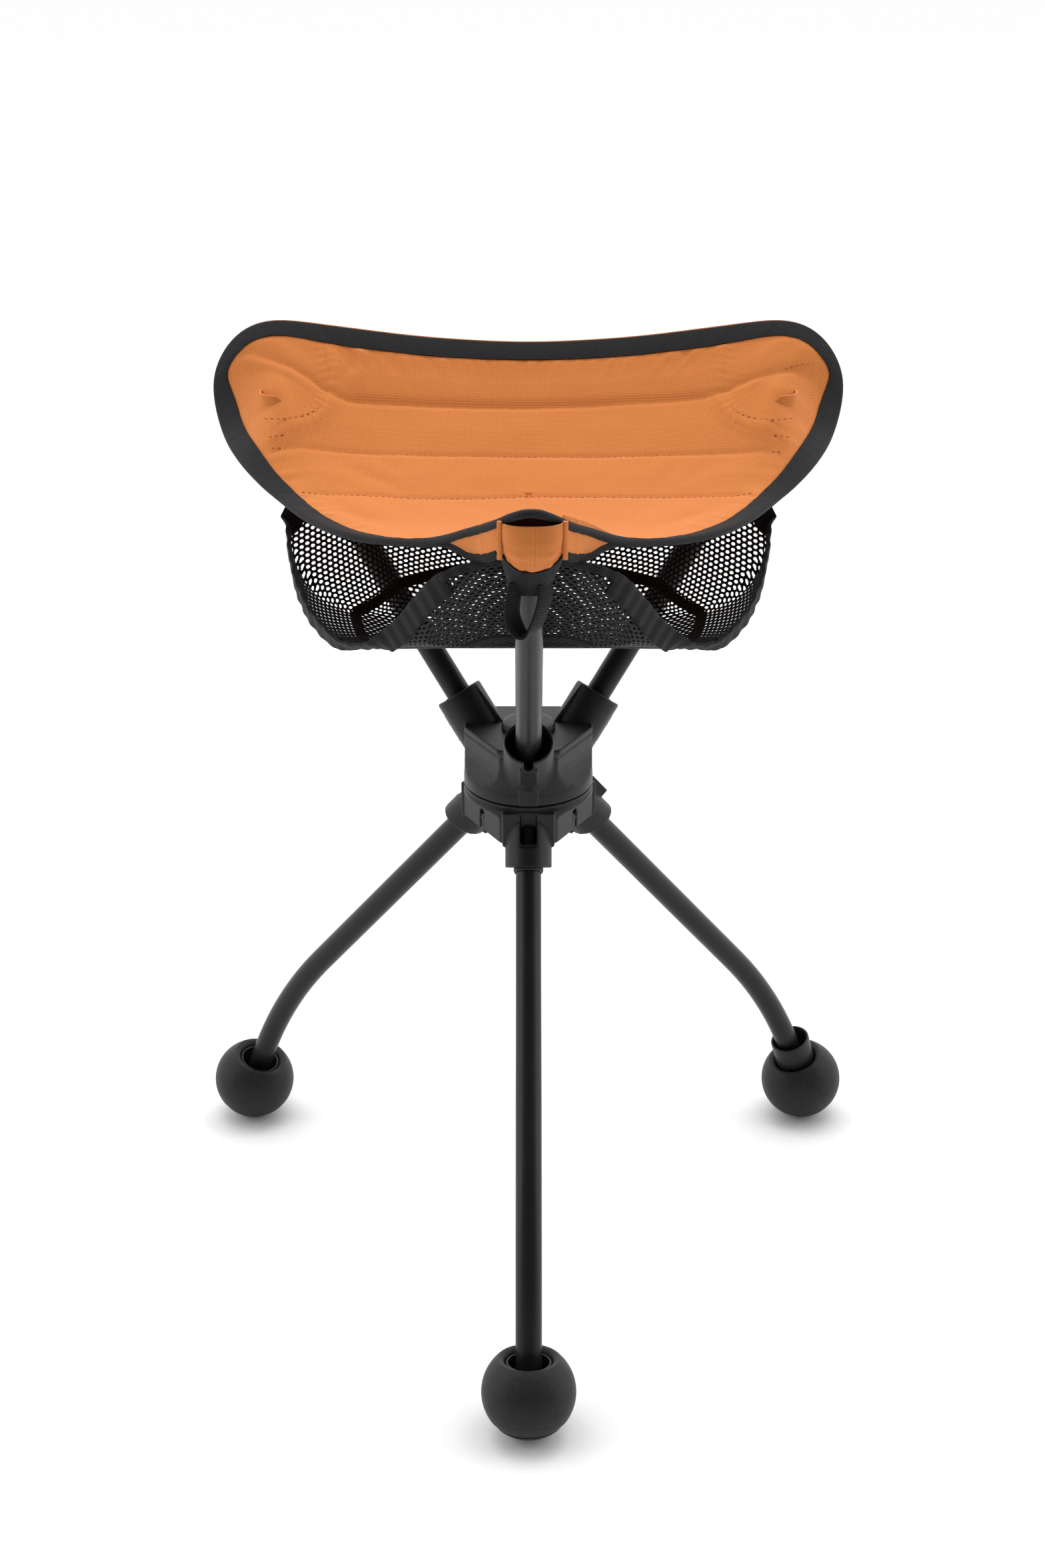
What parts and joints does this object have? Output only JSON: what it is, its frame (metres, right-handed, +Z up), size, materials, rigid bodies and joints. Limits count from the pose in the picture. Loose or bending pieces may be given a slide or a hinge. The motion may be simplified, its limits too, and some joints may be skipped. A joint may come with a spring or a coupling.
{
  "type": "swivel stool",
  "caption": "Tripod swivel stool with splayed bent tube legs on ball feet, a turning hub with socketed arms, a slung padded fabric seat and a hanging net pouch.",
  "frame": {"origin": "on the floor under the centre of the stool's outline", "axes": "+Z up; the front leg points to -Y; the swivel axis stands at x = 0, y = +58.45 mm"},
  "size_m": [0.462, 0.4075, 0.5958],
  "materials": {
    "black_nylon": "moulded glass-filled nylon, fine satin texture",
    "zinc_steel": "zinc plated",
    "white_acetal": "smooth",
    "powder_coated_tube": "satin black powder coat",
    "elastic_cord": "braided sleeve",
    "foot_rubber": "matt moulded rubber",
    "orange_fabric": "twill-woven coated polyester",
    "black_tape": "ribbed woven binding tape",
    "black_net": "knitted polyester net"
  },
  "bodies": {
    "base": {"lower_hub": "black_nylon", "hub_bottom_cover": "black_nylon", "swivel_nut": "zinc_steel", "nut_washer": "zinc_steel", "thrust_washer": "white_acetal", "leg_cord_front": "elastic_cord", "leg_cord_rear_left": "elastic_cord", "leg_cord_rear_right": "elastic_cord"},
    "rotor": {"upper_hub": "black_nylon", "swivel_bushing": "white_acetal", "swivel_cap": "black_nylon", "swivel_bolt": "zinc_steel", "bolt_washer": "zinc_steel", "arm_front": "powder_coated_tube", "arm_tip_cap_front": "black_nylon", "arm_cord_front": "elastic_cord", "arm_rear_left": "powder_coated_tube", "arm_tip_cap_rear_left": "black_nylon", "arm_cord_rear_left": "elastic_cord", "arm_rear_right": "powder_coated_tube", "arm_tip_cap_rear_right": "black_nylon", "arm_cord_rear_right": "elastic_cord"},
    "seat": {"seat_panel": "orange_fabric", "seat_binding": "black_tape", "pouch_floor": "black_net", "pouch_back_wall": "black_net", "pouch_front_panel": "black_net", "pouch_rim_left": "black_tape", "pouch_rim_right": "black_tape", "corner_pocket_front": "orange_fabric", "pull_loop_front": "black_tape", "corner_pocket_rear_left": "orange_fabric", "pull_loop_rear_left": "black_tape", "corner_pocket_rear_right": "orange_fabric", "pull_loop_rear_right": "black_tape"},
    "leg_front": {"leg_front": "powder_coated_tube", "leg_stop_ring_front": "black_nylon", "foot_stem_front": "black_nylon"},
    "foot_front": {"foot_ball_front": "foot_rubber", "foot_sole_front": "foot_rubber"},
    "collar_front": {"foot_collar_front": "black_nylon"},
    "leg_rear_left": {"leg_rear_left": "powder_coated_tube", "leg_stop_ring_rear_left": "black_nylon", "foot_stem_rear_left": "black_nylon"},
    "foot_rear_left": {"foot_ball_rear_left": "foot_rubber", "foot_sole_rear_left": "foot_rubber"},
    "collar_rear_left": {"foot_collar_rear_left": "black_nylon"},
    "leg_rear_right": {"leg_rear_right": "powder_coated_tube", "leg_stop_ring_rear_right": "black_nylon", "foot_stem_rear_right": "black_nylon"},
    "foot_rear_right": {"foot_ball_rear_right": "foot_rubber", "foot_sole_rear_right": "foot_rubber"},
    "collar_rear_right": {"foot_collar_rear_right": "black_nylon"}
  },
  "joints": [
    {"name": "swivel", "type": "hinge", "parent": "base", "child": "rotor", "pos_m": [0, 0.05845, 0.327], "axis": [0, 0, 1], "continuous": true},
    {"name": "seat_lift", "type": "slide", "parent": "rotor", "child": "seat", "axis": [0, 0, 1], "range_m": [0, 0.17]},
    {"name": "leg_pull_front", "type": "slide", "parent": "base", "child": "leg_front", "axis": [0, -0.6497, -0.7602], "range_m": [0, 0.035]},
    {"name": "foot_tilt_front", "type": "hinge", "parent": "leg_front", "child": "foot_front", "pos_m": [0, -0.17535, 0.0283], "axis": [-1, 0, 0], "range_deg": [0, 18]},
    {"name": "collar_slide_front", "type": "slide", "parent": "foot_front", "child": "collar_front", "axis": [0, 0.225, 0.9744], "range_m": [0, 0.006]},
    {"name": "leg_pull_rear_left", "type": "slide", "parent": "base", "child": "leg_rear_left", "axis": [-0.5627, 0.3249, -0.7602], "range_m": [0, 0.035]},
    {"name": "foot_tilt_rear_left", "type": "hinge", "parent": "leg_rear_left", "child": "foot_rear_left", "pos_m": [-0.20248, 0.17535, 0.0283], "axis": [0.5, 0.866, 0], "range_deg": [-1, 9]},
    {"name": "collar_slide_rear_left", "type": "slide", "parent": "foot_rear_left", "child": "collar_rear_left", "axis": [0.2676, -0.1545, 0.9511], "range_m": [0, 0.02]},
    {"name": "leg_pull_rear_right", "type": "slide", "parent": "base", "child": "leg_rear_right", "axis": [0.5627, 0.3249, -0.7602], "range_m": [0, 0.035]},
    {"name": "foot_tilt_rear_right", "type": "hinge", "parent": "leg_rear_right", "child": "foot_rear_right", "pos_m": [0.20248, 0.17535, 0.0283], "axis": [0.5, -0.866, 0], "range_deg": [-1, 9]},
    {"name": "collar_slide_rear_right", "type": "slide", "parent": "foot_rear_right", "child": "collar_rear_right", "axis": [-0.2676, -0.1545, 0.9511], "range_m": [-0.02, 0]}
  ]
}
